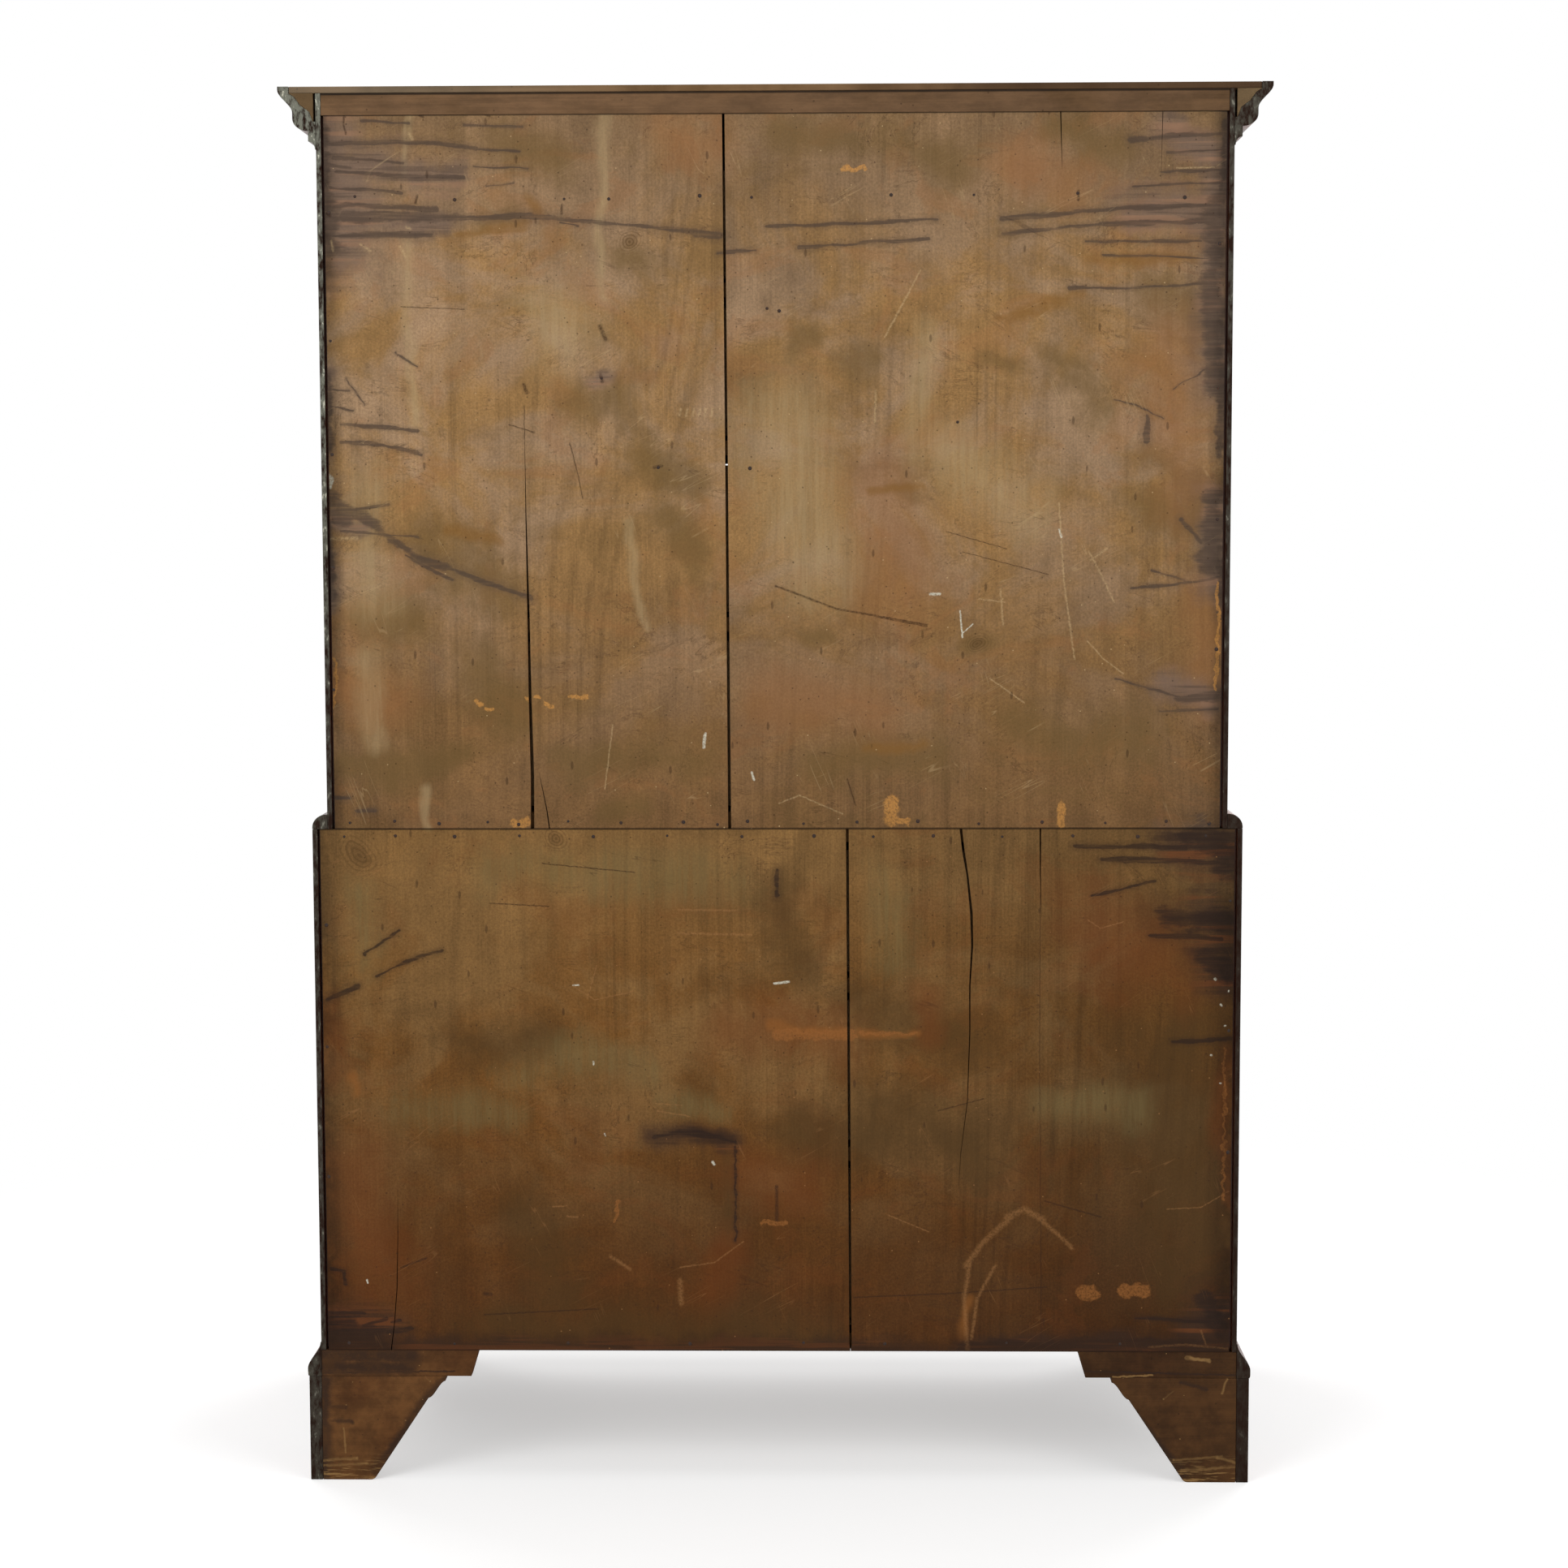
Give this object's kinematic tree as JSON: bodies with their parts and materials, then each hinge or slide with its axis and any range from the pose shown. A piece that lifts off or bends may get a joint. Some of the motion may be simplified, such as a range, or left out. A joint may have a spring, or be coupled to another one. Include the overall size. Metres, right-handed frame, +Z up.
{
  "type": "chest of drawers",
  "caption": "Tall chest on chest with graduated drawers on swing handles, moulded cornice, bracket feet and a plain boarded back.",
  "frame": {"origin": "on the floor under the middle of the whole piece", "axes": "+Z up, -Y out of the drawer fronts, +X to the right as seen from the front"},
  "size_m": [1.217, 0.5774, 1.75],
  "materials": {
    "mahogany": "old polish, satin",
    "old_pine": "bare, aged and stained softwood",
    "oak_lining": "bare, dry",
    "brass": "worn, lightly tarnished"
  },
  "bodies": {
    "lower_case": {"lower_side_left": "mahogany", "lower_side_right": "mahogany", "lower_bottom_board": "old_pine", "lower_top_board": "old_pine", "lower_divider_1": "mahogany", "lower_divider_2": "mahogany", "lower_backboard_left": "old_pine", "lower_backboard_right": "old_pine", "waist_moulding": "mahogany", "base_moulding": "mahogany", "foot_front_left": "mahogany", "foot_front_right": "mahogany", "foot_rear_left": "mahogany", "foot_rear_right": "mahogany", "foot_batten_left": "old_pine", "foot_batten_right": "old_pine"},
    "upper_case": {"upper_side_left": "mahogany", "upper_side_right": "mahogany", "upper_bottom_board": "old_pine", "upper_divider_1": "mahogany", "upper_divider_2": "mahogany", "upper_divider_3": "mahogany", "short_drawer_partition": "mahogany", "front_top_rail": "mahogany", "rear_top_rail": "old_pine", "top_board": "old_pine", "upper_backboard_left": "old_pine", "upper_backboard_middle": "old_pine", "upper_backboard_right": "old_pine", "cornice": "mahogany"},
    "lower_long_drawer_1": {"lower_long_drawer_1_front": "mahogany", "lower_long_drawer_1_box": "oak_lining"},
    "lower_long_drawer_1_pull_left": {"lower_long_drawer_1_pull_left": "brass"},
    "lower_long_drawer_1_pull_right": {"lower_long_drawer_1_pull_right": "brass"},
    "lower_long_drawer_2": {"lower_long_drawer_2_front": "mahogany", "lower_long_drawer_2_box": "oak_lining"},
    "lower_long_drawer_2_pull_left": {"lower_long_drawer_2_pull_left": "brass"},
    "lower_long_drawer_2_pull_right": {"lower_long_drawer_2_pull_right": "brass"},
    "lower_long_drawer_3": {"lower_long_drawer_3_front": "mahogany", "lower_long_drawer_3_box": "oak_lining"},
    "lower_long_drawer_3_pull_left": {"lower_long_drawer_3_pull_left": "brass"},
    "lower_long_drawer_3_pull_right": {"lower_long_drawer_3_pull_right": "brass"},
    "short_drawer_left": {"short_drawer_left_front": "mahogany", "short_drawer_left_box": "oak_lining"},
    "short_drawer_left_pull": {"short_drawer_left_pull": "brass"},
    "short_drawer_right": {"short_drawer_right_front": "mahogany", "short_drawer_right_box": "oak_lining"},
    "short_drawer_right_pull": {"short_drawer_right_pull": "brass"},
    "upper_long_drawer_1": {"upper_long_drawer_1_front": "mahogany", "upper_long_drawer_1_box": "oak_lining"},
    "upper_long_drawer_1_pull_left": {"upper_long_drawer_1_pull_left": "brass"},
    "upper_long_drawer_1_pull_right": {"upper_long_drawer_1_pull_right": "brass"},
    "upper_long_drawer_2": {"upper_long_drawer_2_front": "mahogany", "upper_long_drawer_2_box": "oak_lining"},
    "upper_long_drawer_2_pull_left": {"upper_long_drawer_2_pull_left": "brass"},
    "upper_long_drawer_2_pull_right": {"upper_long_drawer_2_pull_right": "brass"},
    "upper_long_drawer_3": {"upper_long_drawer_3_front": "mahogany", "upper_long_drawer_3_box": "oak_lining"},
    "upper_long_drawer_3_pull_left": {"upper_long_drawer_3_pull_left": "brass"},
    "upper_long_drawer_3_pull_right": {"upper_long_drawer_3_pull_right": "brass"}
  },
  "joints": [
    {"name": "upper_case_lift", "type": "slide", "parent": "lower_case", "child": "upper_case", "axis": [0, 0, 1], "range_m": [0, 0.3]},
    {"name": "lower_long_drawer_1_slide", "type": "slide", "parent": "lower_case", "child": "lower_long_drawer_1", "axis": [0, -1, 0], "range_m": [0, 0.4]},
    {"name": "lower_long_drawer_1_pull_left_hinge", "type": "hinge", "parent": "lower_long_drawer_1", "child": "lower_long_drawer_1_pull_left", "pos_m": [-0.34, -0.27845, 0.74242], "axis": [-1, 0, 0], "range_deg": [-24, 204]},
    {"name": "lower_long_drawer_1_pull_right_hinge", "type": "hinge", "parent": "lower_long_drawer_1", "child": "lower_long_drawer_1_pull_right", "pos_m": [0.34, -0.27845, 0.74242], "axis": [-1, 0, 0], "range_deg": [-24, 204]},
    {"name": "lower_long_drawer_2_slide", "type": "slide", "parent": "lower_case", "child": "lower_long_drawer_2", "axis": [0, -1, 0], "range_m": [0, 0.4]},
    {"name": "lower_long_drawer_2_pull_left_hinge", "type": "hinge", "parent": "lower_long_drawer_2", "child": "lower_long_drawer_2_pull_left", "pos_m": [-0.34, -0.27845, 0.53945], "axis": [-1, 0, 0], "range_deg": [-24, 204]},
    {"name": "lower_long_drawer_2_pull_right_hinge", "type": "hinge", "parent": "lower_long_drawer_2", "child": "lower_long_drawer_2_pull_right", "pos_m": [0.34, -0.27845, 0.53945], "axis": [-1, 0, 0], "range_deg": [-24, 204]},
    {"name": "lower_long_drawer_3_slide", "type": "slide", "parent": "lower_case", "child": "lower_long_drawer_3", "axis": [0, -1, 0], "range_m": [0, 0.4]},
    {"name": "lower_long_drawer_3_pull_left_hinge", "type": "hinge", "parent": "lower_long_drawer_3", "child": "lower_long_drawer_3_pull_left", "pos_m": [-0.34, -0.27845, 0.31148], "axis": [-1, 0, 0], "range_deg": [-24, 204]},
    {"name": "lower_long_drawer_3_pull_right_hinge", "type": "hinge", "parent": "lower_long_drawer_3", "child": "lower_long_drawer_3_pull_right", "pos_m": [0.34, -0.27845, 0.31148], "axis": [-1, 0, 0], "range_deg": [-24, 204]},
    {"name": "short_drawer_left_slide", "type": "slide", "parent": "upper_case", "child": "short_drawer_left", "axis": [0, -1, 0], "range_m": [0, 0.4]},
    {"name": "short_drawer_left_pull_hinge", "type": "hinge", "parent": "short_drawer_left", "child": "short_drawer_left_pull", "pos_m": [-0.2765, -0.25945, 1.59753], "axis": [-1, 0, 0], "range_deg": [-24, 204]},
    {"name": "short_drawer_right_slide", "type": "slide", "parent": "upper_case", "child": "short_drawer_right", "axis": [0, -1, 0], "range_m": [0, 0.4]},
    {"name": "short_drawer_right_pull_hinge", "type": "hinge", "parent": "short_drawer_right", "child": "short_drawer_right_pull", "pos_m": [0.2765, -0.25945, 1.59753], "axis": [-1, 0, 0], "range_deg": [-24, 204]},
    {"name": "upper_long_drawer_1_slide", "type": "slide", "parent": "upper_case", "child": "upper_long_drawer_1", "axis": [0, -1, 0], "range_m": [0, 0.4]},
    {"name": "upper_long_drawer_1_pull_left_hinge", "type": "hinge", "parent": "upper_long_drawer_1", "child": "upper_long_drawer_1_pull_left", "pos_m": [-0.34, -0.25945, 1.41657], "axis": [-1, 0, 0], "range_deg": [-24, 204]},
    {"name": "upper_long_drawer_1_pull_right_hinge", "type": "hinge", "parent": "upper_long_drawer_1", "child": "upper_long_drawer_1_pull_right", "pos_m": [0.34, -0.25945, 1.41657], "axis": [-1, 0, 0], "range_deg": [-24, 204]},
    {"name": "upper_long_drawer_2_slide", "type": "slide", "parent": "upper_case", "child": "upper_long_drawer_2", "axis": [0, -1, 0], "range_m": [0, 0.4]},
    {"name": "upper_long_drawer_2_pull_left_hinge", "type": "hinge", "parent": "upper_long_drawer_2", "child": "upper_long_drawer_2_pull_left", "pos_m": [-0.34, -0.25945, 1.21063], "axis": [-1, 0, 0], "range_deg": [-24, 204]},
    {"name": "upper_long_drawer_2_pull_right_hinge", "type": "hinge", "parent": "upper_long_drawer_2", "child": "upper_long_drawer_2_pull_right", "pos_m": [0.34, -0.25945, 1.21063], "axis": [-1, 0, 0], "range_deg": [-24, 204]},
    {"name": "upper_long_drawer_3_slide", "type": "slide", "parent": "upper_case", "child": "upper_long_drawer_3", "axis": [0, -1, 0], "range_m": [0, 0.4]},
    {"name": "upper_long_drawer_3_pull_left_hinge", "type": "hinge", "parent": "upper_long_drawer_3", "child": "upper_long_drawer_3_pull_left", "pos_m": [-0.34, -0.25945, 0.97967], "axis": [-1, 0, 0], "range_deg": [-24, 204]},
    {"name": "upper_long_drawer_3_pull_right_hinge", "type": "hinge", "parent": "upper_long_drawer_3", "child": "upper_long_drawer_3_pull_right", "pos_m": [0.34, -0.25945, 0.97967], "axis": [-1, 0, 0], "range_deg": [-24, 204]}
  ]
}
